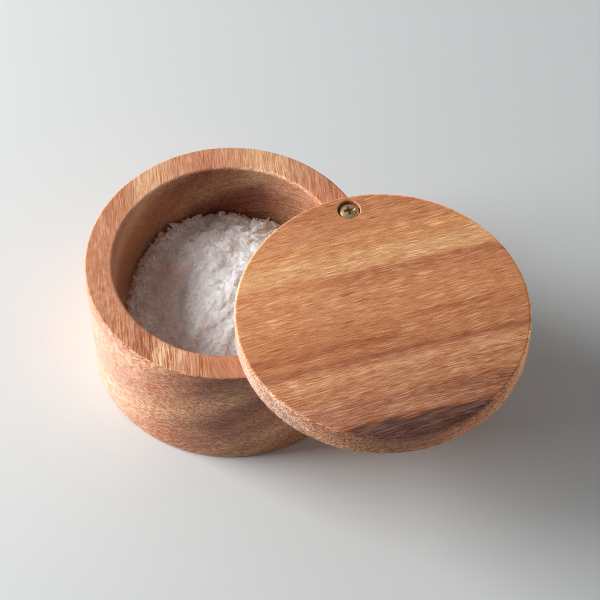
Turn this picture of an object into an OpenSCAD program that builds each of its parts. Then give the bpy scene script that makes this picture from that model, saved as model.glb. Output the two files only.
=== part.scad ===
// Round wooden salt box with a swivel lid.
// The box is one turned block. A flat round lid lies on its rim and swings
// sideways on one countersunk-bored wood screw that stands in the wall.
// Frame: origin at the centre of the base face, +Z up, +Y towards the pivot.
// The lid is drawn swung open, the way the box stands when it is in use.

/* [Box body] */
// Outside diameter of the turned box
body_d = 102; // [90:1:120]
// Height of the box from the table to the rim
body_h = 52; // [46:1:60]
// Thickness of the side wall at the rim
wall_t = 10; // [9:0.5:12]
// Thickness of the floor inside the box
floor_t = 10; // [6:1:12]
// Radius of the scooped corner between wall and floor
scoop_r = 12; // [4:1:16]
// Rounding of the outer edge of the rim
rim_ease = 0.8; // [0.4:0.1:1.5]
// Rounding of the inner edge of the rim
mouth_ease = 1.1; // [0.4:0.1:1.5]
// Rounding of the edge that stands on the table
foot_ease = 1.2; // [0.5:0.1:2]

/* [Lid] */
// Height of the closed box, from the table to the top of the lid
overall_h = 63; // [62:1:72]
// Diameter of the lid, the same as the box
lid_d = 102; // [90:1:120]
// Rounding of the lid's upper edge
lid_top_ease = 1.0; // [0.4:0.1:2]
// Rounding of the lid's lower edge
lid_under_ease = 1.0; // [0.4:0.1:2]
// How far the lid is swung from closed, in degrees
lid_swing = 87; // [0:1:180]
// Gap between the rim and the underside of the lid
lid_gap = 0.05; // [0.02:0.01:0.3]

/* [Pivot] */
// Distance from the centre of the box to the pivot
pivot_y = 45; // [44:0.5:46]
// Diameter of the bore in the lid that sinks the screw head
sink_d = 8; // [7.6:0.1:9]
// Depth of the bore that sinks the screw head
sink_depth = 2.5; // [2.4:0.1:4.5]
// Rounding of the mouth of that bore
sink_ease = 0.4; // [0.2:0.1:0.8]
// Running clearance round the screw's shank, on the radius
pivot_clear = 0.07; // [0.02:0.01:0.1]
// Diameter of the pilot hole in the wall
pilot_d = 2.6; // [2.4:0.1:2.8]

/* [Screw] */
// Diameter of the screw head
head_d = 7; // [6.4:0.1:7.2]
// Height of the head's upright edge
head_edge = 1.3; // [0.6:0.1:1.4]
// Height of the head's dome above that edge
head_dome = 1.0; // [0.8:0.1:1.2]
// Diameter of the smooth shank and of the thread
shank_d = 3.5; // [3.3:0.1:3.6]
// Diameter of the core between the threads
core_d = 2.4; // [2.2:0.1:2.6]
// Length of the screw under its head
screw_len = 20; // [18:1:24]
// Distance from one thread to the next
thread_pitch = 1.4; // [1.2:0.1:1.6]
// Length of one arm pair of the cross recess
cross_len = 4.6; // [3.4:0.1:4.8]
// Width of an arm of the cross recess
cross_w = 1.0; // [0.7:0.05:1.1]
// Depth of the cross recess below the top of the dome
cross_depth = 1.8; // [1.4:0.1:2.1]
// Turn of the cross recess about the screw's axis, in degrees
cross_turn = 87; // [0:1:180]

/* [Salt] */
// Height of the heap of salt at its crown, above the table
salt_top = 34; // [28:0.5:38]
// Radius of the heap's crowned surface
salt_crown_r = 75; // [70:5:200]
// Sideways shift of the crown from the centre of the box
salt_shift = 6; // [0:1:14]
// Direction of that shift, counted from +X, in degrees
salt_shift_dir = 90; // [0:1:359]
// Gap between the salt and the wood
salt_gap = 0.2; // [0.1:0.05:0.5]

/* [Hidden] */
$fn = 96;

body_r = body_d / 2;
cavity_r = body_r - wall_t;
scoop = min(scoop_r, body_h - floor_t - 12, cavity_r - 8);
lid_r = lid_d / 2;
lid_z = body_h + lid_gap;                 // underside of the lid
lid_t = max(overall_h - lid_z, 8);        // thickness of the lid
lid_top = lid_z + lid_t;
seat_z = lid_top - sink_depth;            // floor of the sunk bore
head_z = seat_z + lid_gap;                // underside of the screw head
shank_r = shank_d / 2;
core_r = core_d / 2;
head_r = head_d / 2;
dome_r = (head_r * head_r + head_dome * head_dome) / (2 * head_dome);
plain_z = lid_z - 1.0;                    // the smooth shank ends in the wall
tip_z = head_z - screw_len;
tip_len = 3.6;                            // length of the pointed end
thread_len = plain_z - tip_z - tip_len;
thread_count = floor(thread_len / thread_pitch);
salt_r = cavity_r - salt_gap;

wood_body = "#b9774c";
wood_lid = "#c98550";
old_brass = "#8d8352";
salt_white = "#ece9ea";

// Outline, from the axis outwards, of a disc with eased outer corners.
module eased_outline(r, h, low, high) {
    big = max(low, high);
    square([r - big, h]);
    translate([0, low]) square([r, h - low - high]);
    if (low < big) square([r - low, h / 2]);
    if (high < big) translate([0, h / 2]) square([r - high, h / 2]);
    translate([r - low, low]) circle(low, $fn = 64);
    translate([r - high, h - high]) circle(high, $fn = 64);
}

// Outline of the hollow: straight wall, scooped corner, flat floor.
module hollow_outline(r, top, shift) {
    translate([0, floor_t + scoop]) square([r, top - floor_t - scoop]);
    translate([0, floor_t + shift]) square([r - scoop + shift, scoop + 1]);
    translate([r - scoop + shift, floor_t + scoop]) circle(scoop - shift, $fn = 96);
}

// One smooth turned bowl with a narrow pilot hole for the screw.
module box_body() {
    color(wood_body)
    difference() {
        rotate_extrude($fn = 180)
            difference() {
                eased_outline(body_r, body_h, foot_ease, rim_ease);
                hollow_outline(cavity_r, body_h + 1, 0);
                // rounded inner edge of the rim
                translate([0, body_h - mouth_ease])
                    difference() {
                        square([cavity_r + mouth_ease, mouth_ease + 1]);
                        translate([cavity_r + mouth_ease, 0]) circle(mouth_ease, $fn = 64);
                    }
            }
        // pilot hole for the thread
        translate([0, pivot_y, tip_z - 0.6])
            cylinder(d = pilot_d, h = plain_z - tip_z + 0.7, $fn = 48);
        // wider start of the hole for the smooth shank
        translate([0, pivot_y, plain_z])
            cylinder(r = shank_r, h = body_h - plain_z + 1, $fn = 48);
    }
}

// The lid in its closed place over the box.
module lid_closed() {
    difference() {
        translate([0, 0, lid_z])
            rotate_extrude($fn = 180)
                eased_outline(lid_r, lid_t, lid_under_ease, lid_top_ease);
        // running hole for the shank
        translate([0, pivot_y, lid_z - 1])
            cylinder(r = shank_r + pivot_clear, h = lid_t + 2, $fn = 48);
        // sunk bore for the screw head
        translate([0, pivot_y, seat_z])
            cylinder(d = sink_d, h = sink_depth + 1, $fn = 64);
        // rounded mouth of the sunk bore
        translate([0, pivot_y, lid_top - sink_ease])
            rotate_extrude($fn = 64)
                difference() {
                    square([sink_d / 2 + sink_ease, sink_ease + 1]);
                    translate([sink_d / 2 + sink_ease, 0]) circle(sink_ease, $fn = 48);
                }
    }
}

// The lid swung about the pivot.
module lid() {
    color(wood_lid)
    translate([0, pivot_y, 0])
        rotate([0, 0, lid_swing])
            translate([0, -pivot_y, 0])
                lid_closed();
}

// Cross recess with tapered arms.
module cross_recess() {
    intersection() {
        union() {
            translate([-cross_len / 2, -cross_w / 2, -cross_depth])
                cube([cross_len, cross_w, cross_depth + 2]);
            translate([-cross_w / 2, -cross_len / 2, -cross_depth])
                cube([cross_w, cross_len, cross_depth + 2]);
        }
        translate([0, 0, -cross_depth])
            cylinder(r1 = cross_w * 0.55, r2 = cross_len * 0.62, h = cross_depth + 0.6, $fn = 48);
    }
}

// Outline of the screw from the axis outwards, with its threads as ridges.
module screw_outline() {
    // smooth shank, from the head down into the wall
    translate([0, plain_z]) square([shank_r, head_z - plain_z + 0.2]);
    // core
    translate([0, tip_z + tip_len]) square([core_r, thread_len + 0.2]);
    // pointed end
    polygon([[0, tip_z], [core_r, tip_z + tip_len], [0, tip_z + tip_len]]);
    // thread ridges on the core
    for (i = [0 : thread_count - 1])
        translate([0, plain_z - (i + 0.5) * thread_pitch])
            polygon([[0, 0.45], [core_r - 0.02, 0.45], [shank_r, 0.08],
                     [shank_r, -0.08], [core_r - 0.02, -0.45], [0, -0.45]]);
    // two small ridges on the pointed end
    for (i = [1 : 2])
        translate([0, tip_z + tip_len * (1 - i * 0.32)])
            polygon([[0, 0.4], [core_r * (1 - i * 0.32) - 0.02, 0.4],
                     [core_r * (1 - i * 0.32) + 0.42, 0],
                     [core_r * (1 - i * 0.32) - 0.06, -0.4], [0, -0.4]]);
}

// Round-headed wood screw with a cross recess.
module pivot_screw() {
    color(old_brass)
    translate([0, pivot_y, 0]) {
        difference() {
            union() {
                rotate_extrude($fn = 72) screw_outline();
                translate([0, 0, head_z]) cylinder(r = head_r, h = head_edge, $fn = 72);
                // dome
                translate([0, 0, head_z + head_edge])
                    intersection() {
                        cylinder(r = head_r, h = head_dome + 1, $fn = 72);
                        translate([0, 0, head_dome - dome_r]) sphere(r = dome_r, $fn = 120);
                    }
            }
            translate([0, 0, head_z + head_edge + head_dome])
                rotate([0, 0, cross_turn]) cross_recess();
        }
    }
}

// Loose flaked salt as one crowned heap, a little clear of the wood.
module salt() {
    color(salt_white)
    intersection() {
        rotate_extrude($fn = 180) hollow_outline(salt_r, salt_top + 2, salt_gap);
        translate([salt_shift * cos(salt_shift_dir), salt_shift * sin(salt_shift_dir),
                   salt_top - salt_crown_r])
            sphere(r = salt_crown_r, $fn = 360);
    }
}

box_body();
lid();
pivot_screw();
salt();
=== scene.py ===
import math
import random

import bmesh
import bpy
import numpy as np
from mathutils import Matrix, Vector


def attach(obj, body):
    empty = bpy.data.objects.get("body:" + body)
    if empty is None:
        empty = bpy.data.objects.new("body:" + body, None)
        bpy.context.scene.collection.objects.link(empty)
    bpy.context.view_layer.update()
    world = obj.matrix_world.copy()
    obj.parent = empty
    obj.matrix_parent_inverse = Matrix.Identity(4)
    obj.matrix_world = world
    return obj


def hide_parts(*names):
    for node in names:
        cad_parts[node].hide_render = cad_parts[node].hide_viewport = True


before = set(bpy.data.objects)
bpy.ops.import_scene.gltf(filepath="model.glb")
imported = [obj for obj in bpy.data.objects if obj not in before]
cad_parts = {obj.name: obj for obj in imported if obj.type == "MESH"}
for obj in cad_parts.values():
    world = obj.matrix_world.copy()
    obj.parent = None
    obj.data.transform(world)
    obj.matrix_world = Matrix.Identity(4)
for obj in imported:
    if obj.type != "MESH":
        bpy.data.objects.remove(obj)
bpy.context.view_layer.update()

scene = bpy.context.scene
scene.view_settings.view_transform = "Standard"
scene.view_settings.look = "None"
scene.view_settings.exposure = 0.0
scene.view_settings.gamma = 1.0
scene.cycles.pixel_filter_type = "BLACKMAN_HARRIS"
scene.cycles.filter_width = 1.0
scene.cycles.max_bounces = 16
scene.cycles.diffuse_bounces = 10

MM = 0.001
# The row frame is the picture's frame turned by this angle about +Z.
# In the picture's frame +X is right, +Y is away and +Z is up.
TURN = math.radians(76.65657)
RIGHT = Vector((math.cos(TURN), math.sin(TURN), 0.0))
AWAY = Vector((-math.sin(TURN), math.cos(TURN), 0.0))
UP = Vector((0.0, 0.0, 1.0))


def pic(x, y, z=0.0):
    """A point given in the picture's frame in metres, in the row frame."""
    return RIGHT * x + AWAY * y + UP * z


# ---------------------------------------------------------------- camera
YAW, PITCH, ROLL = 0.0546, 0.9564, -0.0137
fwd0 = Vector((math.sin(YAW) * math.cos(PITCH), math.cos(YAW) * math.cos(PITCH), -math.sin(PITCH)))
side0 = Vector((math.cos(YAW), -math.sin(YAW), 0.0))
up0 = side0.cross(fwd0)
side1 = side0 * math.cos(ROLL) + up0 * math.sin(ROLL)
up1 = up0 * math.cos(ROLL) - side0 * math.sin(ROLL)
cx, cy, cz = pic(*side1), pic(*up1), pic(*(-fwd0))
cam_data = bpy.data.cameras.new("camera")
cam_data.sensor_fit = "AUTO"
cam_data.sensor_width = 36.0
cam_data.lens = 2207.25 * 36.0 / 600.0
cam_data.clip_start, cam_data.clip_end = 0.05, 20.0
cam_data.dof.use_dof = False
cam = bpy.data.objects.new("camera", cam_data)
scene.collection.objects.link(cam)
cam.matrix_world = Matrix.Translation(pic(0.0, -0.46437, 0.68316)) @ Matrix((
    (cx.x, cy.x, cz.x, 0), (cx.y, cy.y, cz.y, 0), (cx.z, cy.z, cz.z, 0), (0, 0, 0, 1)))
scene.camera = cam


# ---------------------------------------------------------------- node helper
class Nodes:
    """Short calls that add shader nodes and join them."""

    def __init__(self, name):
        self.mat = bpy.data.materials.new(name)
        self.mat.use_nodes = True
        self.nt = self.mat.node_tree
        self.nt.nodes.clear()
        self.out = self.nt.nodes.new("ShaderNodeOutputMaterial")
        self.bsdf = self.nt.nodes.new("ShaderNodeBsdfPrincipled")
        self.nt.links.new(self.bsdf.outputs[0], self.out.inputs["Surface"])
        self.count = 0

    def node(self, kind, **attrs):
        n = self.nt.nodes.new(kind)
        for k, v in attrs.items():
            setattr(n, k, v)
        self.count += 1
        n.location = (-200 * (self.count // 10) - 300, -200 * (self.count % 10))
        return n

    def put(self, socket, value):
        if isinstance(value, bpy.types.NodeSocket):
            self.nt.links.new(value, socket)
        elif isinstance(value, (int, float)):
            if socket.type == "VECTOR":
                socket.default_value = (value,) * 3
            elif socket.type == "RGBA":
                socket.default_value = (value, value, value, 1.0)
            else:
                socket.default_value = value
        else:
            value = tuple(value)
            if socket.type == "RGBA" and len(value) == 3:
                value = value + (1.0,)
            socket.default_value = value

    def math(self, op, a, b=0.0, c=None, clamp=False):
        n = self.node("ShaderNodeMath", operation=op, use_clamp=clamp)
        self.put(n.inputs[0], a)
        self.put(n.inputs[1], b)
        if c is not None:
            self.put(n.inputs[2], c)
        return n.outputs[0]

    def add(self, a, b):
        return self.math("ADD", a, b)

    def sub(self, a, b):
        return self.math("SUBTRACT", a, b)

    def mul(self, a, b):
        return self.math("MULTIPLY", a, b)

    def vec(self, op, a, b=(0, 0, 0)):
        n = self.node("ShaderNodeVectorMath", operation=op)
        self.put(n.inputs[0], a)
        if op == "SCALE":
            self.put(n.inputs["Scale"], b)
        elif op not in ("NORMALIZE", "LENGTH"):
            self.put(n.inputs[1], b)
        return n.outputs["Value"] if op in ("DOT_PRODUCT", "LENGTH") else n.outputs["Vector"]

    def join(self, x, y, z):
        n = self.node("ShaderNodeCombineXYZ")
        for i, v in enumerate((x, y, z)):
            self.put(n.inputs[i], v)
        return n.outputs[0]

    def noise(self, vector, scale=1.0, detail=2.0, rough=0.5, distortion=0.0, kind="FBM", out=0):
        n = self.node("ShaderNodeTexNoise")
        n.noise_dimensions = "3D"
        n.noise_type = kind
        self.put(n.inputs["Vector"], vector)
        n.inputs["Scale"].default_value = scale
        n.inputs["Detail"].default_value = detail
        n.inputs["Roughness"].default_value = rough
        n.inputs["Distortion"].default_value = distortion
        return n.outputs[out]

    def voronoi(self, vector, scale=1.0, feature="F1", random_=1.0, out="Distance"):
        n = self.node("ShaderNodeTexVoronoi", feature=feature)
        n.voronoi_dimensions = "3D"
        self.put(n.inputs["Vector"], vector)
        n.inputs["Scale"].default_value = scale
        n.inputs["Randomness"].default_value = random_
        return n.outputs[out]

    def ramp(self, fac, stops, interp="LINEAR"):
        n = self.node("ShaderNodeValToRGB")
        n.color_ramp.interpolation = interp
        el = n.color_ramp.elements
        while len(el) > 1:
            el.remove(el[-1])
        el[0].position = stops[0][0]
        el[0].color = tuple(stops[0][1]) + (1.0,)
        for p, c in stops[1:]:
            e = el.new(p)
            e.color = tuple(c) + (1.0,)
        self.put(n.inputs[0], fac)
        return n.outputs["Color"]

    def span(self, value, lo, hi, to_lo=0.0, to_hi=1.0, smooth=True):
        n = self.node("ShaderNodeMapRange")
        n.interpolation_type = "SMOOTHSTEP" if smooth else "LINEAR"
        n.clamp = True
        self.put(n.inputs["Value"], value)
        for name, v in (("From Min", lo), ("From Max", hi), ("To Min", to_lo), ("To Max", to_hi)):
            self.put(n.inputs[name], v)
        return n.outputs["Result"]

    def mix(self, fac, a, b, blend="MIX"):
        n = self.node("ShaderNodeMix", data_type="RGBA", blend_type=blend)
        n.clamp_result = False
        self.put(n.inputs[0], fac)
        self.put(n.inputs[6], a)
        self.put(n.inputs[7], b)
        return n.outputs[2]

    def field3(self, m, thin, long_):
        """Bands that follow the growth layers of the box."""
        across = self.sub(self.mul(m["w"], 0.34), self.mul(m["vb"], 0.94))
        layer = self.add(self.mul(m["vb"], 0.34), self.mul(m["w"], 0.94))
        return self.noise(self.join(self.mul(m["u"], 1 / 45), self.mul(layer, 1 / thin), self.mul(across, 1 / long_)),
                          detail=2.0, rough=0.55)

    def tint(self, color, value):
        """color times a grey value."""
        return self.vec("SCALE", color, value)

    def bump(self, height, strength, distance, normal=None):
        n = self.node("ShaderNodeBump")
        n.inputs["Strength"].default_value = strength
        n.inputs["Distance"].default_value = distance
        self.put(n.inputs["Height"], height)
        if normal is not None:
            self.put(n.inputs["Normal"], normal)
        return n.outputs[0]


def srgb(r, g, b):
    """Linear colour of an 8-bit display colour."""
    return tuple(c / 12.92 if c <= 0.04045 else ((c + 0.055) / 1.055) ** 2.4 for c in (r / 255, g / 255, b / 255))


# ---------------------------------------------------------------- floor and light
FLOOR = (0.695, 0.722, 0.722)
floor_mesh = bpy.data.meshes.new("floor")
floor_mesh.from_pydata([(-6, -6, 0), (6, -6, 0), (6, 6, 0), (-6, 6, 0)], [], [(0, 1, 2, 3)])
floor_mesh.update()
floor = bpy.data.objects.new("floor", floor_mesh)
floor.location = (0, 0, -0.00002)
scene.collection.objects.link(floor)
fm = Nodes("floor_plain")
p = fm.node("ShaderNodeTexCoord").outputs["Object"]
soft = fm.noise(p, scale=6.0, detail=3.0)
fm.put(fm.bsdf.inputs["Base Color"], fm.mix(fm.span(soft, 0.3, 0.7), tuple(c * 0.99 for c in FLOOR), FLOOR))
fm.bsdf.inputs["Roughness"].default_value = 0.55
fm.bsdf.inputs["Specular IOR Level"].default_value = 0.25
floor_mesh.materials.append(fm.mat)

world = bpy.data.worlds.new("soft_room")
scene.world = world
world.use_nodes = True
wn, wl = world.node_tree.nodes, world.node_tree.links
wn["Background"].inputs[0].default_value = (0.99, 0.99, 1.0, 1.0)
# the room is darker towards the front
way = wn.new("ShaderNodeTexCoord")
toward = wn.new("ShaderNodeVectorMath")
toward.operation = "DOT_PRODUCT"
toward.inputs[1].default_value = tuple(AWAY)
wl.new(way.outputs["Generated"], toward.inputs[0])
fade = wn.new("ShaderNodeMapRange")
fade.interpolation_type = "SMOOTHSTEP"
for key, val in (("From Min", -0.75), ("From Max", 0.15), ("To Min", 0.09), ("To Max", 0.245)):
    fade.inputs[key].default_value = val
wl.new(toward.outputs["Value"], fade.inputs["Value"])
wl.new(fade.outputs["Result"], wn["Background"].inputs[1])


def window(name, centre, aim, width, height, radiance, color=(1, 1, 1)):
    data = bpy.data.lights.new(name, "AREA")
    data.shape = "RECTANGLE"
    data.size, data.size_y = width, height
    data.energy = radiance * math.pi * width * height
    data.color = color
    o = bpy.data.objects.new(name, data)
    scene.collection.objects.link(o)
    o.location = centre
    o.rotation_euler = (Vector(aim) - Vector(centre)).to_track_quat("-Z", "Y").to_euler()
    o.visible_camera = False
    return o


window("window_left", pic(-0.85, 0.18, 0.44), pic(0.02, 0.0, 0.44), 0.62, 0.88, 13.4, (1.0, 1.0, 1.0))

window("wall_right", pic(1.15, -0.15, 0.33), pic(0.05, -0.05, 0.20), 2.2, 0.60, 0.50, (1.0, 1.0, 1.0))

# ---------------------------------------------------------------- wood
def wood(name, origin, fibre, side, bands, lean, seed=(0.0, 0.0, 0.0), drift=1.5, ripple=0.9, pores=1.0,
         streak=1.0, grain=((70, 3.2, 0.36), (30, 1.1, 0.38), (9.0, 0.46, 0.62), (4.5, 0.28, 0.95)), grit=0.25,
         rings=0.30, ring_lean=(0.34, 0.94), spot=(1.3, 0.62), spots=3.0, calm=None, hollow=0.0, sheen=0.0,
         dark_below=None, lively=None, sway=None, ragged=None, quiet_side=None, edge=0.35, end_tone=(0.75, 0.82, 0.92), extra=None):
    """Solid wood. origin in metres; fibre and side are unit vectors in the row frame.
    The growth layers are planes along the fibre; lean gives a layer's share of sideways and upward distance."""
    k = Nodes(name)
    tc = k.node("ShaderNodeTexCoord")
    p = k.vec("SCALE", k.vec("SUBTRACT", tc.outputs["Object"], tuple(origin)), 1000.0)   # mm
    u = k.vec("DOT_PRODUCT", p, tuple(fibre))
    v = k.vec("DOT_PRODUCT", p, tuple(side))
    w = k.vec("DOT_PRODUCT", p, (0, 0, 1))
    s0, s1, s2 = seed

    def field(lu, lv, du=0.0, dv=0.0, across=None, detail=2.0, rough=0.5, high=None):
        across = v if across is None else across
        high = w if high is None else high
        return k.noise(k.join(k.add(k.mul(u, 1 / lu), s0 + du), k.add(k.mul(across, 1 / lv), s1 + dv),
                              k.add(k.mul(high, 1 / lv), s2)), detail=detail, rough=rough)

    # the grain wanders slowly, and the streaks ripple a little more than the growth layers
    vb = k.add(v, k.mul(k.sub(field(64, 24, 3.0, detail=1.0), 0.5), 2.0 * drift))
    vs = k.add(vb, k.mul(k.sub(field(46, 17, 8.0, detail=0.0), 0.5), 2.0 * ripple))
    if sway:
        vs = k.sub(vs, k.mul(k.mul(k.add(u, sway[0]), sway[1]), k.mul(k.span(v, sway[2], sway[3]), k.span(u, -26.0, -36.0))))
    layer = k.add(k.mul(vb, lean[0]), k.mul(w, lean[1]))
    if ragged:
        torn = k.sub(field(12.0, 0.9, 27.0, across=k.sub(vs, k.mul(u, 0.10)), detail=2.0), 0.5)
        layer = k.add(layer, k.mul(k.mul(torn, ragged[0]), k.span(layer, ragged[1], ragged[2])))
    lo, hi = bands[0][0], bands[-1][0]
    base = k.ramp(k.span(layer, lo, hi, smooth=False), [((x - lo) / (hi - lo), c) for x, c in bands], "CARDINAL")

    # streaks, from broad to fine
    (l0, w0, a0), (l1, w1, a1), (l2, w2, a2), (l3, w3, a3) = grain
    broad = field(l0, w0, 1.7, across=vs, detail=2.0)
    middle = field(l1, w1, 5.1, across=vs, detail=1.0)
    fine = field(l2, w2, 2.9, across=vs, detail=1.0, rough=0.6)
    hair = field(l3, w3, 6.3, across=vs, detail=0.0)
    tone = k.mul(k.sub(broad, 0.5), a0 * streak)
    tone = k.add(tone, k.mul(k.sub(middle, 0.5), a1 * streak))
    tone = k.add(tone, k.mul(k.sub(fine, 0.5), a2 * streak))
    tone = k.add(tone, k.mul(k.sub(hair, 0.5), a3 * streak))
    tone = k.add(tone, k.mul(k.sub(field(0.95, 0.38, 12.5, across=vs, detail=0.0), 0.5), grit))
    live = 1.0
    if lively:
        along = {"u": u, "v": v}[lively[0]]
        more = k.span(v, lively[4], lively[5], lively[6], 1.0)
        more = k.mul(k.span(along, lively[1], lively[2]), more)
        live = k.add(1.0, k.mul(more, lively[3]))
        tone = k.mul(tone, live)
    facing = k.math("ABSOLUTE", k.vec("DOT_PRODUCT", tc.outputs["Normal"], tuple(fibre)))
    flat = k.math("ABSOLUTE", k.vec("DOT_PRODUCT", tc.outputs["Normal"], (0, 0, 1)))
    end = k.math("POWER", facing, 3.0)
    speck = k.noise(k.join(k.add(k.mul(u, 1 / 2.6), s1), k.add(k.mul(vs, 1 / spot[0]), s0), k.mul(w, 1 / spot[1])),
                    detail=1.0, rough=0.8)
    dots = k.add(k.span(facing, 0.10, 0.6, 0.0, 0.68), k.span(flat, 0.7, 0.2, 0.0, 0.32))
    if hollow:
        core = k.span(k.math("SQRT", k.add(k.mul(u, u), k.mul(v, v))), hollow + 1.2, hollow + 0.3)
        dots = k.mul(dots, k.sub(1.0, k.mul(core, k.span(v, 12.0, 30.0, 0.30, 0.62))))
    if calm:
        # short, speckled grain where the fibre dips into the surface
        still = k.mul(k.span(v, calm[0], calm[1]), k.span(k.math("ABSOLUTE", u), calm[3], calm[2]))
        tone = k.mul(tone, k.sub(1.0, k.mul(still, 0.62)))
        dots = k.math("MAXIMUM", dots, k.mul(still, 0.30))
    # growth rings: fine layers, seen as lines on the end grain
    across = k.sub(k.mul(w, ring_lean[0]), k.mul(vb, ring_lean[1]))
    thin = k.add(k.mul(vb, ring_lean[0]), k.mul(w, ring_lean[1]))
    ring = k.noise(k.join(k.add(k.mul(u, 1 / 45), s1), k.mul(thin, 1 / 0.80), k.mul(across, 1 / 14)), detail=2.0,
                   rough=0.6)
    if hollow:
        tone = k.mul(tone, k.sub(1.0, k.mul(k.mul(core, k.span(v, 12.0, 28.0)), 0.38)))
        tone = k.add(tone, k.mul(k.sub(ring, 0.5), k.add(rings, k.mul(k.mul(core, k.span(v, 12.0, -10.0)), 1.5))))
    else:
        tone = k.add(tone, k.mul(k.sub(ring, 0.5), rings))
    # soft mottles where the fibre dips in and out of the surface
    mottle = field(7.0, 4.0, 9.9, across=vb, detail=2.0)
    tone = k.add(tone, k.mul(k.sub(mottle, 0.5), 0.16))

    # open vessels: thin dashes along the fibre, most of them pale with dust, some dark
    def dashes(lu, lv, near, far, du):
        at = k.join(k.add(k.mul(u, 1 / lu), s0 + du), k.add(k.mul(k.sub(vs, k.mul(u, 0.07)), 1 / lv), s1),
                    k.add(k.mul(w, 1 / lv), s2))
        n = k.node("ShaderNodeTexVoronoi", feature="F1")
        k.put(n.inputs["Vector"], at)
        n.inputs["Scale"].default_value = 1.0
        body = k.span(n.outputs["Distance"], near, far, 1.0, 0.0)
        pick = k.node("ShaderNodeSeparateColor")
        k.put(pick.inputs[0], n.outputs["Color"])
        return body, pick.outputs[0], pick.outputs[1]

    crowd = field(34, 9.0, 4.4, across=vb, detail=1.0)
    body1, r1, g1 = dashes(11.0, 0.54, 0.24, 0.38, 0.0)
    body2, r2, g2 = dashes(6.0, 0.44, 0.22, 0.38, 7.0)
    pale = k.mul(k.mul(body1, k.span(r1, 0.25, 0.75)), k.span(crowd, 0.42, 0.58))
    pale = k.math("MAXIMUM", pale, k.mul(k.mul(body2, k.span(r2, 0.45, 0.9)), 0.7))
    dark = k.mul(k.mul(body1, k.span(g1, 0.45, 0.9)), k.span(crowd, 0.58, 0.40))
    vessels = k.sub(k.mul(pale, 0.48 * pores), k.mul(dark, 0.32 * pores))
    tone = k.add(tone, k.mul(vessels, live))

    # end grain: darker and speckled
    if quiet_side:
        share = k.span(v, quiet_side[0], quiet_side[1], quiet_side[2], 1.0)
        if len(quiet_side) > 3:
            share = k.add(1.0, k.mul(k.sub(share, 1.0), k.span(u, quiet_side[3], quiet_side[4])))
        dots = k.mul(dots, share)
    tone = k.add(tone, k.mul(k.mul(k.sub(speck, 0.5), spots), dots))
    tone = k.math("MINIMUM", k.math("MAXIMUM", tone, -0.55), 0.90)
    gain = k.vec("ADD", k.vec("SCALE", (0.60, 1.06, 1.44), tone), (1.0, 1.0, 1.0))
    gain = k.vec("MULTIPLY", gain, k.mix(end, (1.0, 1.0, 1.0), end_tone))
    color = k.vec("MULTIPLY", base, gain)
    # worn edges are paler; this paleness also stands in for the light caught along the rounded edges, so it is partly
    # real wear and partly painted highlight
    wear_and_edge_highlight = k.mul(k.span(flat, 0.12, 0.45), k.span(flat, 0.985, 0.80))
    if dark_below is not None:
        wear_and_edge_highlight = k.mul(wear_and_edge_highlight, k.span(layer, dark_below, dark_below + 4.0, 0.45, 1.0))
    # painted highlight and wear: the rounded edges are lightened and whitened
    color = k.mix(k.mul(wear_and_edge_highlight, edge), color, k.vec("MULTIPLY", color, (1.29, 1.47, 1.74)))
    if extra:
        color = extra(k, color, {"u": u, "v": v, "w": w, "facing": facing, "flat": flat, "vb": vb, "vs": vs, "layer": layer, "end": end, "fine": fine,
                                 "tone": tone, "field": field, "base": base, "gain": gain})
    k.put(k.bsdf.inputs["Base Color"], color)
    k.put(k.bsdf.inputs["Roughness"], k.add(k.add(0.47, k.mul(wear_and_edge_highlight, 0.25)), k.mul(k.sub(fine, 0.5), 0.30)))
    k.bsdf.inputs["Specular IOR Level"].default_value = 0.25
    k.bsdf.inputs["Sheen Weight"].default_value = sheen
    k.bsdf.inputs["Sheen Roughness"].default_value = 0.25
    relief = k.sub(k.add(k.mul(fine, 0.5), k.mul(k.mul(speck, end), 0.8)), k.mul(k.math("MAXIMUM", pale, dark), 0.5))
    k.put(k.bsdf.inputs["Normal"], k.bump(relief, 0.24, 0.00010))
    return k.mat


def turned(angle):
    """Unit vector at that angle, in degrees, in the picture's ground plane."""
    a = math.radians(angle)
    return RIGHT * math.cos(a) + AWAY * math.sin(a)


# tones of the wood, from the palest sapwood streaks to the heartwood
def tint(r, g, b):
    return tuple(c * g_ for c, g_ in zip(srgb(r, g, b), (1.20, 1.16, 1.09)))


CREAM = tint(214, 162, 119)
LIGHT = tint(208, 154, 111)
HONEY = tint(202, 142, 98)
MID = tint(192, 130, 91)
RED = tint(184, 122, 84)
BROWN = tint(170, 109, 76)
SADDLE = tint(163, 105, 75)
RUST = tint(177, 114, 79)
CLAY = tint(180, 118, 82)
GOLD = tint(197, 136, 95)
DARK = tint(152, 98, 73)
UMBER = tint(114, 77, 60)
WEDGE = tint(97, 65, 56)
PLUM = tint(92, 62, 55)
# the box is turned from a rosier board
ROSE_CREAM = tint(212, 162, 127)
ROSE_LIGHT = tint(208, 154, 119)
ROSE_MID = tint(196, 138, 106)
ROSE = tint(190, 129, 98)
ROSE_BROWN = tint(172, 120, 94)
ROSE_DARK = tint(150, 102, 82)

LID_SWING = math.radians(87.0)
LID_C = Vector((0.045 * math.sin(LID_SWING), 0.045 - 0.045 * math.cos(LID_SWING), 0.063))

lid_bands = [(-60, PLUM), (-46.6, PLUM), (-45.0, WEDGE), (-43.9, UMBER), (-42.6, DARK), (-41.0, SADDLE), (-36, SADDLE),
             (-31, RED), (-26.5, RED), (-24.0, MID), (-21.8, HONEY), (-19.6, RED), (-17.8, BROWN), (-16.3, BROWN),
             (-14.6, CLAY), (-10.5, CLAY), (-7.0, RED), (1, MID), (6, MID), (10.5, MID), (13.4, RED), (15.2, RUST), (17.2, RUST), (18.2, MID), (19.4, LIGHT),
             (25, LIGHT), (29, HONEY), (33, HONEY), (36, MID), (41, MID),
             (46, RED), (75, MID)]


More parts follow.
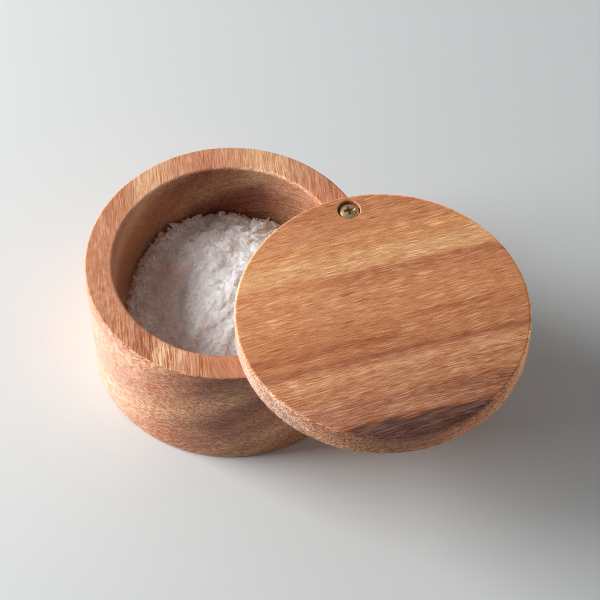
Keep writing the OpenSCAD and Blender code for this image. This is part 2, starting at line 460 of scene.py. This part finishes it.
def lid_extra(k, color, m):
    """The dark heartwood is streaky, and pale torn streaks follow its edge."""
    rag = k.add(m["layer"], k.mul(k.sub(m["field"](13, 1.6, 20.0, across=m["vs"], detail=2.0), 0.5), 8.0))
    edge = k.mul(k.span(rag, -42.0, -40.0), k.span(rag, -35.5, -39.0))
    color = k.mix(k.mul(edge, 0.22), color, k.vec("MULTIPLY", HONEY, m["gain"]))
    heart = k.span(m["layer"], -42.5, -44.5)
    slant = k.sub(m["vs"], k.mul(m["u"], 0.14))
    lines = k.span(m["field"](16, 0.75, 31.0, across=slant, detail=1.0), 0.50, 0.64)
    color = k.mix(k.mul(k.mul(heart, lines), 0.40), color, k.vec("MULTIPLY", (0.30, 0.132, 0.094), m["gain"]))
    black = k.span(m["field"](18, 0.8, 51.0, across=slant, detail=1.0), 0.52, 0.62)
    color = k.mix(k.mul(k.mul(heart, black), 0.60), color, k.vec("SCALE", color, 0.42))
    # a few short dark checks in the paler wood beside it
    near = k.mul(k.span(m["layer"], -43.0, -41.0), k.span(m["layer"], -25.0, -34.0))
    checks = k.span(m["field"](9, 0.8, 44.0, across=slant, detail=2.0), 0.58, 0.68)
    color = k.mix(k.mul(k.mul(near, checks), 0.50), color, k.vec("MULTIPLY", DARK, m["gain"]))
    # the left half of the top is a little lighter, and the upright side on the right is painted lighter further down
    left = k.span(m["u"], -8.0, -42.0)
    color = k.vec("SCALE", color, k.add(1.0, k.mul(left, 0.09)))

    def seam(v0, half, soft, u0, u1, amount):
        """A thin dark growth line that runs along part of the board."""
        off = k.math("ABSOLUTE", k.sub(m["vb"], v0))
        run = k.mul(k.span(m["u"], u0 - 7.0, u0 + 5.0), k.span(m["u"], u1 + 7.0, u1 - 5.0))
        return k.mul(k.mul(k.span(off, half + soft, half), run), amount)

    seams = k.math("MAXIMUM", k.math("MAXIMUM", seam(-4.3, 0.6, 1.1, 9.0, 38.0, 0.62), seam(-11.2, 1.0, 1.6, -60.0, 1.0, 0.88)),
                   seam(-17.3, 0.35, 0.8, -12.0, 60.0, 0.78))
    seams = k.mul(seams, k.span(m["flat"], 0.4, 0.8))
    color = k.mix(seams, color, k.vec("MULTIPLY", color, (0.77, 0.66, 0.61)))
    lower = k.mul(k.mul(k.span(m["v"], -15.0, -20.0), k.span(m["v"], -43.0, -39.0)), k.span(m["flat"], 0.6, 0.9))
    color = k.mix(lower, color, k.vec("MULTIPLY", color, (0.95, 1.0, 1.13)))
    low_right = k.mul(k.span(m["v"], -31.0, -35.5), k.span(m["u"], 0.0, 22.0))
    color = k.mix(low_right, color, k.vec("SCALE", color, 0.86))
    line = k.mul(k.span(m["layer"], 9.5, 14.0), k.span(m["layer"], 19.0, 16.8))
    color = k.mix(k.mul(line, k.span(m["u"], -2.0, -28.0)), color, k.vec("MULTIPLY", color, (1.24, 1.38, 1.42)))
    upright = k.span(m["flat"], 0.6, 0.2)
    sound = k.span(m["layer"], -45.5, -37.5)
    # painted light: the upright side on the right is lighter, standing in for light from the right
    right = k.mul(k.mul(k.mul(upright, k.span(m["u"], -2.0, 22.0)), sound), k.span(m["v"], 3.0, -11.0))
    color = k.mix(right, color, k.vec("MULTIPLY", color, (1.56, 1.58, 1.52)))
    color = k.mix(k.mul(right, k.span(m["u"], 24.0, 46.0)), color, k.vec("SCALE", color, 1.45))
    # painted sheen: the upright side on the left, facing the key light, is whiter
    color = k.mix(k.mul(upright, k.span(m["u"], -30.0, -44.0)), color, k.vec("MULTIPLY", color, (0.94, 1.10, 1.30)))
    # painted light: the rounded edge on the right, which faces away from the key light, is lightened
    eased = k.mul(k.mul(k.span(m["flat"], 0.99, 0.80), k.span(m["flat"], 0.2, 0.6)), k.span(m["u"], 2.0, 28.0))
    color = k.mix(k.mul(eased, k.add(0.5, k.mul(sound, 0.5))), color, k.vec("MULTIPLY", color, (2.0, 2.0, 1.9)))
    # painted light: the far right end of the upright side is warmer and lighter still
    far = k.mul(upright, k.span(m["u"], 30.0, 44.0))
    color = k.mix(far, color, k.vec("MULTIPLY", color, (1.12, 1.01, 0.84)))
    color = k.mix(k.mul(far, k.mul(k.span(m["v"], -20.0, -10.0), k.span(m["v"], 16.0, 6.0))), color, k.vec("SCALE", color, 1.45))
    # the dark wood runs out softly down the side
    faded = k.mix(k.span(m["w"], -0.2, -5.0, 0.22, 0.90), k.vec("MULTIPLY", color, (1.60, 1.32, 1.02)),
                  k.vec("MULTIPLY", BROWN, m["gain"]))
    color = k.mix(k.mul(k.span(m["flat"], 0.985, 0.72), k.sub(1.0, sound)), color, faded)
    low = k.mul(k.mul(upright, k.span(m["v"], -12.0, -30.0)), k.span(m["u"], 8.0, -10.0))
    return k.mix(low, color, k.vec("MULTIPLY", color, (0.80, 0.84, 0.90)))


lid_wood = wood("lid_wood", LID_C, turned(11.0), turned(101.0), lid_bands, (1.0, -2.0), seed=(3.1, 7.7, 1.3),
                drift=0.8, ripple=1.8, pores=1.9, streak=0.85,
                grain=((70, 3.2, 0.22), (30, 1.1, 0.28), (8.0, 0.46, 0.66), (3.6, 0.28, 1.20)), grit=0.32, edge=0.50, rings=0.15, ring_lean=(1.0, -0.3), spot=(0.62, 0.52),
                spots=6.2, quiet_side=(4.0, -18.0, 0.28), end_tone=(0.84, 1.10, 1.52), dark_below=-45.0, ragged=(9.0, -32.0, -41.0), lively=("v", -14.0, -26.0, 0.30, 60.0, 50.0, 0.0),
                extra=lid_extra)
body_bands = [(-30, ROSE_MID), (-12, ROSE), (0, ROSE_LIGHT), (8, ROSE_LIGHT), (14, ROSE_MID), (18, ROSE),
              (23.5, ROSE), (28, ROSE_MID), (32, ROSE_LIGHT), (37, ROSE_LIGHT), (41, ROSE_MID), (45, ROSE),
              (49, ROSE), (53, ROSE_MID), (56.5, ROSE_LIGHT), (60, ROSE_LIGHT), (63.5, ROSE), (69, ROSE),
              (80, ROSE_MID)]


def body_extra(k, color, m):
    """Dark clouds in the layers in front and inside at the back; the left flank is painted paler and whiter, a painted
    sheen where the key light falls.
    """
    x, z = k.mul(m["v"], -1.0), m["w"]
    lump = k.mul(k.sub(m["field"](30, 7.0, 15.0, detail=2.0), 0.5), 9.0)

    def cloud(x0, z0, slope, half, soft, reach, fade):
        c, s_ = math.cos(math.radians(slope)), math.sin(math.radians(slope))
        dx, dz = k.sub(x, x0), k.sub(z, z0)
        off = k.math("ABSOLUTE", k.add(k.sub(k.mul(dz, c), k.mul(dx, s_)), k.mul(lump, 0.5)))
        run = k.math("ABSOLUTE", k.add(k.add(k.mul(dx, c), k.mul(dz, s_)), lump))
        return k.mul(k.span(off, half + soft, half), k.span(run, reach + fade, reach))

    front = k.span(m["u"], -15.0, -35.0)
    dark = k.math("MAXIMUM", cloud(0.0, 47.5, 20.0, 2.0, 7.0, 9.0, 13.0), cloud(1.0, 28.0, 38.0, 1.2, 5.0, 13.0, 9.0))
    color = k.mix(k.mul(k.mul(dark, front), 0.55), color, k.vec("MULTIPLY", color, (0.54, 0.50, 0.53)))
    # bands of darker and paler growth on the end grain
    rank = k.sub(k.field3(m, 3.4, 34.0), 0.5)
    color = k.mix(front, color, k.vec("SCALE", color, k.add(1.0, k.mul(k.mul(rank, m["end"]), 0.95))))
    tan = cloud(-8.0, 37.0, 35.0, 2.0, 5.0, 14.0, 10.0)
    color = k.mix(k.mul(k.mul(tan, front), 0.5), color, k.vec("MULTIPLY", color, (1.16, 1.16, 1.10)))
    # inside: a purplish patch low at the back, and a smaller one near the rim
    round_ = k.math("SQRT", k.add(k.mul(m["u"], m["u"]), k.mul(m["v"], m["v"])))
    inside = k.mul(k.span(round_, 42.2, 41.3), k.span(m["flat"], 0.9, 0.4))
    color = k.mix(inside, color, k.vec("MULTIPLY", color, k.mix(k.span(m["u"], 12.0, 32.0), (0.85, 0.96, 1.00), (0.90, 1.12, 1.26))))
    patch = k.math("MAXIMUM", cloud(1.5, 33.0, 27.0, 2.5, 4.5, 12.0, 8.0),
                   k.mul(cloud(-13.0, 47.5, 20.0, 0.8, 3.5, 7.0, 7.0), 0.7))
    color = k.mix(k.mul(k.mul(patch, inside), k.span(m["u"], 8.0, 25.0)), color,
                  k.vec("MULTIPLY", color, (0.69, 0.63, 0.71)))
    # the rim: a red streak in front on the left
    top = k.span(m["flat"], 0.7, 0.9)
    color = k.mix(top, color, k.vec("MULTIPLY", color, (0.98, 1.04, 1.07)))
    off = k.math("ABSOLUTE", k.sub(m["v"], 31.0))
    red = k.mul(k.mul(top, k.span(off, 5.5, 2.0)), k.span(m["u"], -20.0, -28.0))
    color = k.mix(k.mul(red, 0.72), color, k.vec("MULTIPLY", color, (0.62, 0.40, 0.36)))
    # the flank on the left: painted sheen, paler and whiter where the key light falls and the wood is seen at a
    # grazing angle, a little darker towards the rim
    side = k.mul(k.span(m["flat"], 0.5, 0.2), k.mul(k.span(round_, 49.0, 50.0), k.span(m["v"], 27.0, 45.0)))
    side = k.mul(side, k.span(m["u"], 8.0, -12.0))
    color = k.mix(k.mul(side, 0.50), color, k.vec("MULTIPLY", ROSE_CREAM, k.mix(0.35, m["gain"], (0.92, 1.02, 1.50))))
    return k.mix(side, color, k.vec("MULTIPLY", color, k.mix(k.span(z, 34.0, 46.0), (0.88, 0.98, 1.11), (0.83, 0.88, 1.00))))


body_wood = wood("body_wood", (0, 0, 0), turned(90.0), turned(180.0), body_bands,
                 (math.sin(math.radians(34)), math.cos(math.radians(34))), seed=(9.3, 2.2, 5.9), drift=1.6, ripple=1.2,
                 streak=1.22, rings=0.48, spot=(1.5, 0.60), spots=2.4, grit=0.40, calm=(30.0, 38.0, 14.0, 30.0), hollow=41.0, sheen=0.25,
                 lively=("u", -16.0, -40.0, 0.70, 4.0, 22.0, -0.40), quiet_side=(36.0, 10.0, 1.75, 2.0, -14.0), sway=(44.0, 0.60, 12.0, -6.0),
                 end_tone=(0.66, 0.63, 0.63), extra=body_extra)


# ---------------------------------------------------------------- brass
def brass():
    k = Nodes("screw_brass")
    tc = k.node("ShaderNodeTexCoord")
    p = k.vec("SCALE", tc.outputs["Object"], 1000.0)
    a = k.noise(p, scale=0.9, detail=4.0, rough=0.65)
    b = k.noise(p, scale=5.0, detail=3.0, rough=0.6)
    tarnish = k.span(k.add(k.mul(a, 0.6), k.mul(b, 0.4)), 0.39, 0.58)
    # painted shade: darker and rougher in the recess and round the foot of the head
    q = k.vec("SUBTRACT", p, (0.0, 45.0, 0.0))
    part = k.node("ShaderNodeSeparateXYZ")
    k.put(part.inputs[0], q)
    rr = k.add(k.mul(part.outputs[0], part.outputs[0]), k.mul(part.outputs[1], part.outputs[1]))
    deep = k.sub(k.sub(62.85, k.mul(rr, 0.0755)), part.outputs[2])
    recess_shade = k.math("MAXIMUM", k.span(deep, 0.2, 1.2, 0.0, 0.22), k.mul(k.span(part.outputs[2], 61.9, 61.2), 0.7))
    metal = k.mix(tarnish, srgb(240, 215, 164), srgb(174, 142, 101))
    # painted shade darkens the brass in the recess and round the foot of the head
    k.put(k.bsdf.inputs["Base Color"], k.mix(recess_shade, metal, srgb(96, 74, 54)))
    k.bsdf.inputs["Metallic"].default_value = 0.71
    k.put(k.bsdf.inputs["Roughness"], k.add(k.add(0.26, k.mul(tarnish, 0.2)), k.mul(recess_shade, 0.3)))
    k.put(k.bsdf.inputs["Normal"], k.bump(b, 0.25, 0.00005))
    return k.mat


screw_brass = brass()


def dress(node, material):
    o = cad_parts[node]
    o.data.materials.clear()
    o.data.materials.append(material)
    return o


dress("box_body", body_wood)
dress("lid", lid_wood)
screw = dress("pivot_screw", screw_brass)
ease = screw.modifiers.new("ease", "BEVEL")
ease.width = 0.00010
ease.segments = 3
ease.limit_method = "ANGLE"
ease.angle_limit = math.radians(38)


# ---------------------------------------------------------------- salt
def salt_material():
    k = Nodes("salt_flakes")
    tc = k.node("ShaderNodeTexCoord")
    p = k.vec("SCALE", tc.outputs["Object"], 1000.0)
    a = k.noise(p, scale=0.5, detail=3.0)
    b = k.noise(p, scale=3.0, detail=3.0, rough=0.6)
    k.put(k.bsdf.inputs["Base Color"], k.mix(k.span(a, 0.35, 0.65), (0.965, 0.945, 0.932), (0.988, 0.973, 0.962)))
    k.put(k.bsdf.inputs["Roughness"], k.add(0.40, k.mul(k.sub(b, 0.5), 0.3)))
    k.bsdf.inputs["Specular IOR Level"].default_value = 0.5
    k.bsdf.inputs["Subsurface Weight"].default_value = 1.0
    k.bsdf.inputs["Subsurface Radius"].default_value = (1.0, 0.97, 0.95)
    k.bsdf.inputs["Subsurface Scale"].default_value = 0.0035
    k.put(k.bsdf.inputs["Normal"], k.bump(b, 0.25, 0.00010))
    return k.mat


salt_white = salt_material()
rng = np.random.default_rng(560)
WALL = 40.75                      # the salt stays inside this radius, in mm
SCOOP_C, SCOOP_Z, SCOOP_R = 29.0, 22.0, 11.75


def wall_level(r):
    """Lowest height in mm that is free above the scooped corner at radius r."""
    r = np.clip(r, 0.0, WALL)
    return np.where(r > SCOOP_C, SCOOP_Z - np.sqrt(np.maximum(SCOOP_R ** 2 - (r - SCOOP_C) ** 2, 0.0)), 10.3)


def heap(x, y):
    """Height of the salt's surface in mm at a point of the picture's frame, in mm."""
    r = np.hypot(x, y)
    th = np.degrees(np.arctan2(y, x)) % 360
    # level along the wall: high at the back, low at the left
    c = 20.3 + 5.3 * np.exp(-(((th - 108 + 180) % 360 - 180) / 30.0) ** 2)
    c = c - 5.5 * np.exp(-(((th - 172 + 180) % 360 - 180) / 20.0) ** 2)
    d = np.hypot(x - 14.0, y + 1.0) / 43.0
    mound = CREST * np.clip(1.0 - d ** 2, 0, 1) ** 1.1
    # a ridge in front of the back wall
    mound = mound + 3.6 * np.exp(-((x + 3.0) / 19.0) ** 2 - ((y - 24.5) / 10.5) ** 2)
    # a shoulder at the back on the left
    mound = mound + 5.2 * np.exp(-((x + 21.0) / 9.5) ** 2 - ((y - 20.0) / 12.0) ** 2)
    t = np.clip(r / 41.0, 0, 1)
    z = 23.0 + (c - 23.0) * t ** 2.5 + mound
    z = z + 0.8 * np.sin(x * 0.21 + 1.3) * np.cos(y * 0.17 - 0.4) + 0.5 * np.sin(x * 0.43 - y * 0.37 + 2.0)
    z = z + 0.25 * np.sin(x * 1.1 + 2 * np.sin(y * 0.7)) * np.cos(y * 0.9 + 1.0)
    z = z + 0.50 * np.sin(0.50 * x + 1.4 * np.sin(0.31 * y + 0.5)) * np.cos(0.46 * y - 1.1 * np.sin(0.29 * x)) * np.clip((38 - r) / 6, 0, 1)
    # clumps with creases between them, most of all at the back and under the lid's edge
    rough = 0.24 + 0.66 / (1.0 + np.exp(-(y - 13.0 - 0.35 * x) / 4.0)) + 0.25 * np.exp(-((x - 14) / 7.0) ** 2)
    clump = np.abs(np.sin(0.40 * x + 0.9 * np.sin(0.31 * y + 1.0) + 0.5)) * np.abs(
        np.cos(0.43 * y - 0.8 * np.sin(0.33 * x + 0.4) + 0.9))
    crumb = np.abs(np.sin(0.93 * x - 0.7 * np.sin(0.8 * y) + 2.1)) * np.abs(np.cos(0.88 * y + 0.6 * np.sin(0.9 * x)))
    z = z + rough * np.clip((40.5 - r) / 4.0, 0.25, 1.0) * (1.60 * (clump - 0.40) + 0.22 * (crumb - 0.4))
    return z


CREST = 11.2


def find_reach():
    """For each degree of the circle, the radius where the salt's surface meets the wood, in mm."""
    out = []
    for deg in range(360):
        a = math.radians(deg)
        r = np.linspace(30.0, WALL, 120)
        clear = heap(r * math.cos(a), r * math.sin(a)) - wall_level(r)
        low = np.nonzero(clear < 0.15)[0]
        out.append(float(r[low[0]]) if len(low) else WALL)
    return np.array(out)


REACH = find_reach()


def reach(x, y):
    return np.interp(np.degrees(np.arctan2(y, x)) % 360, np.arange(361), np.append(REACH, REACH[0]))


def salt_pile():
    verts, faces = [], []
    rings, spokes = 80, 240
    turn = 2 * math.pi * np.arange(spokes) / spokes
    limit = reach(np.cos(turn), np.sin(turn))
    for i in range(rings + 1):
        a = turn if i else turn[:1]
        r = (limit if i else limit[:1]) * i / rings
        x, y = r * np.cos(a), r * np.sin(a)
        z = np.maximum(heap(x, y) - 0.35 + rng.normal(0, 0.07, len(a)), wall_level(r) + 0.05)
        verts.extend(zip(x.tolist(), y.tolist(), z.tolist()))

    def at(i, j):
        return 0 if i == 0 else 1 + (i - 1) * spokes + j % spokes
    for i in range(rings):
        for j in range(spokes):
            if i == 0:
                faces.append((0, at(1, j), at(1, j + 1)))
            else:
                faces.append((at(i, j), at(i + 1, j), at(i + 1, j + 1), at(i, j + 1)))
    # down along the wood to the floor of the hollow
    prev = [at(rings, j) for j in range(spokes)]
    for part in (0.8, 0.6, 0.4, 0.2, 0.0):
        ring = []
        for j in range(spokes):
            edge = float(limit[j])
            top = float(heap(np.array(edge * math.cos(turn[j])), np.array(edge * math.sin(turn[j])))) - 0.4
            r = SCOOP_C + (edge - SCOOP_C) * part ** 0.5
            z = min(top, float(wall_level(np.array(r))) + 0.02) if part else 10.3
            ring.append(len(verts))
            verts.append((r * math.cos(turn[j]), r * math.sin(turn[j]), z))
        for j in range(spokes):
            faces.append((prev[j], ring[j], ring[(j + 1) % spokes], prev[(j + 1) % spokes]))
        prev = ring
    centre = len(verts)
    verts.append((0.0, 0.0, 10.3))
    for j in range(spokes):
        faces.append((prev[j], centre, prev[(j + 1) % spokes]))
    return verts, faces


def add_flake(verts, faces, centre, normal, size, thick, tilt, spin, roll, sides):
    """An irregular flat crystal with chipped edges, closed."""
    lay = Vector((0, 0, 1)).rotation_difference(normal).to_matrix()
    rot = lay @ Matrix.Rotation(roll, 3, "Z") @ Matrix.Rotation(tilt, 3, "X") @ Matrix.Rotation(spin, 3, "Z")
    base = len(verts)
    ang = np.sort((np.arange(sides) + rng.uniform(-0.42, 0.42, sides)) * 2 * math.pi / sides)
    rad = size * 0.5 * rng.uniform(0.45, 1.25, sides)
    squash = rng.uniform(0.35, 0.9)
    lower = rng.uniform(0.80, 0.97)
    bend = rng.uniform(-0.22, 0.22)
    new = []
    for top in (1, 0):
        for a, r in zip(ang, rad):
            rr = r * (1.0 if top else lower)
            x, y = rr * math.cos(a), rr * math.sin(a) * squash
            z = thick * (0.5 if top else -0.5) + bend * x * x / size
            q = rot @ Vector((x, y, z))
            new.append([centre[0] + q.x, centre[1] + q.y, centre[2] + q.z])
    # keep the whole crystal off the wood
    far = max(math.hypot(a[0], a[1]) for a in new)
    if far > WALL:
        back = far - WALL
        h = math.hypot(centre[0], centre[1])
        for a in new:
            a[0] -= centre[0] / h * back
            a[1] -= centre[1] / h * back
    short = max(float(wall_level(np.array(math.hypot(a[0], a[1])))) + 0.05 - a[2] for a in new)
    if short > 0:
        for a in new:
            a[2] += short
    verts.extend(tuple(a) for a in new)
    faces.append(tuple(base + i for i in range(sides)))
    faces.append(tuple(base + sides + i for i in reversed(range(sides))))
    for i in range(sides):
        j = (i + 1) % sides
        faces.append((base + i, base + sides + i, base + sides + j, base + j))


def build_salt():
    verts, faces = salt_pile()
    bed = (len(verts), len(faces))

    def lay(count, sizes, thicks, spread, lifts, keep=None, margin=0.9):
        done = 0
        while done < count:
            r = 40.4 * math.sqrt(rng.random())
            a = rng.random() * 2 * math.pi
            x, y = r * math.cos(a), r * math.sin(a)
            if keep is not None and rng.random() > keep(x, y):
                continue
            if r > float(reach(np.array(x), np.array(y))) - margin:
                continue
            done += 1
            e = 0.6
            gx = float(heap(np.array(x + e), np.array(y)) - heap(np.array(x - e), np.array(y))) / (2 * e)
            gy = float(heap(np.array(x), np.array(y + e)) - heap(np.array(x), np.array(y - e))) / (2 * e)
            n = Vector((-max(-1, min(1, gx)), -max(-1, min(1, gy)), 1)).normalized()
            z = float(heap(np.array(x), np.array(y))) + rng.uniform(*lifts)
            add_flake(verts, faces, (x, y, z), n, rng.uniform(*sizes), rng.uniform(*thicks),
                      min(abs(rng.normal(0, spread)), 1.45), rng.random() * 6.28, rng.random() * 6.28,
                      int(rng.integers(3, 6)))

    lay(2600, (1.8, 4.6), (0.45, 0.7), 0.15, (-0.32, 0.02))

    def back(x, y):
        """More loose flakes towards the back and the left wall."""
        edge = math.exp(-((math.hypot(x, y) - 38.5) / 3.5) ** 2) if x < 10 else 0.0
        return min(1.0, 0.15 + 0.80 / (1.0 + math.exp(-(y - 14.0) / 4.0)) + 0.7 * edge)

    lay(620, (2.2, 4.8), (0.5, 0.8), 0.42, (-0.5, 0.3), back)

    def rough_zone(x, y):
        return 0.03 + 0.95 * math.exp(-((y - 32) / 9) ** 2) + 0.20 * math.exp(-((x - 11) / 7) ** 2)

    lay(360, (2.6, 5.8), (0.5, 0.85), 0.80, (-0.3, 0.9), rough_zone)

    def edge_zone(x, y):
        """Flakes of all sizes that stand up along the wall, at the back and on the left."""
        r, th = math.hypot(x, y), math.degrees(math.atan2(y, x)) % 360
        return 1.0 if r > float(reach(np.array(x), np.array(y))) - 6.0 and 60 < th < 186 else 0.0

    lay(300, (1.8, 4.4), (0.4, 0.65), 1.0, (0.1, 1.5), edge_zone, 1.6)
    lay(70, (4.0, 7.0), (0.6, 0.9), 1.0, (0.2, 1.9), edge_zone, 2.4)
    # single big crystals whose tips make the outline against the wall
    for x, y, lift, size, tilt, roll in ((-11.0, 37.0, 1.7, 7.5, 1.15, 0.5), (-14.5, 35.5, 0.9, 6.5, 0.9, 2.3),
                                         (-1.4, 37.6, 2.3, 7.0, 1.25, 1.1), (0.8, 36.0, 1.3, 6.0, 0.9, 4.0),
                                         (-21.0, 31.6, 1.6, 6.5, 1.1, 1.9), (-24.5, 30.0, 1.2, 5.5, 1.0, 0.2),
                                         (-7.0, 35.0, 0.6, 6.0, 0.8, 5.2), (6.5, 36.0, 0.9, 6.0, 1.0, 2.9),
                                         (13.5, 34.6, 1.0, 6.5, 1.1, 0.9), (18.5, 33.0, 1.4, 6.5, 1.0, 3.6),
                                         (-28.5, 25.5, 0.9, 5.0, 1.0, 1.2), (10.0, 27.0, 1.0, 6.0, 0.8, 4.6),
                                         (-4.0, 28.0, 0.8, 6.0, 0.7, 2.0), (16.0, 22.0, 1.2, 6.0, 0.9, 0.4)):
        z = float(heap(np.array(x), np.array(y))) + lift
        add_flake(verts, faces, (x, y, z), Vector((0, 0, 1)), size, 1.0, tilt, rng.random() * 6.28, roll,
                  int(rng.integers(4, 6)))
    pts = [tuple(pic(x * MM, y * MM, z * MM)) for x, y, z in verts]
    mesh = bpy.data.meshes.new("salt_heap")
    mesh.from_pydata(pts, [], faces)
    mesh.update()
    o = bpy.data.objects.new("salt_heap", mesh)
    scene.collection.objects.link(o)
    # fuse the flakes and the bulk into one closed skin
    fuse = o.modifiers.new("fuse", "REMESH")
    fuse.mode = "VOXEL"
    fuse.voxel_size = 0.00023
    fuse.adaptivity = 0.0
    fuse.use_smooth_shade = True
    bpy.context.view_layer.update()
    dg = bpy.context.evaluated_depsgraph_get()
    skin = bpy.data.meshes.new_from_object(o.evaluated_get(dg), preserve_all_data_layers=False, depsgraph=dg)
    o.modifiers.clear()
    o.data = skin
    bpy.data.meshes.remove(mesh)
    skin.name = "salt_heap"
    print("salt faces", len(skin.polygons))
    skin.materials.clear()
    skin.materials.append(salt_white)
    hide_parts("salt")
    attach(o, "box")
    return o


salt_heap = build_salt()
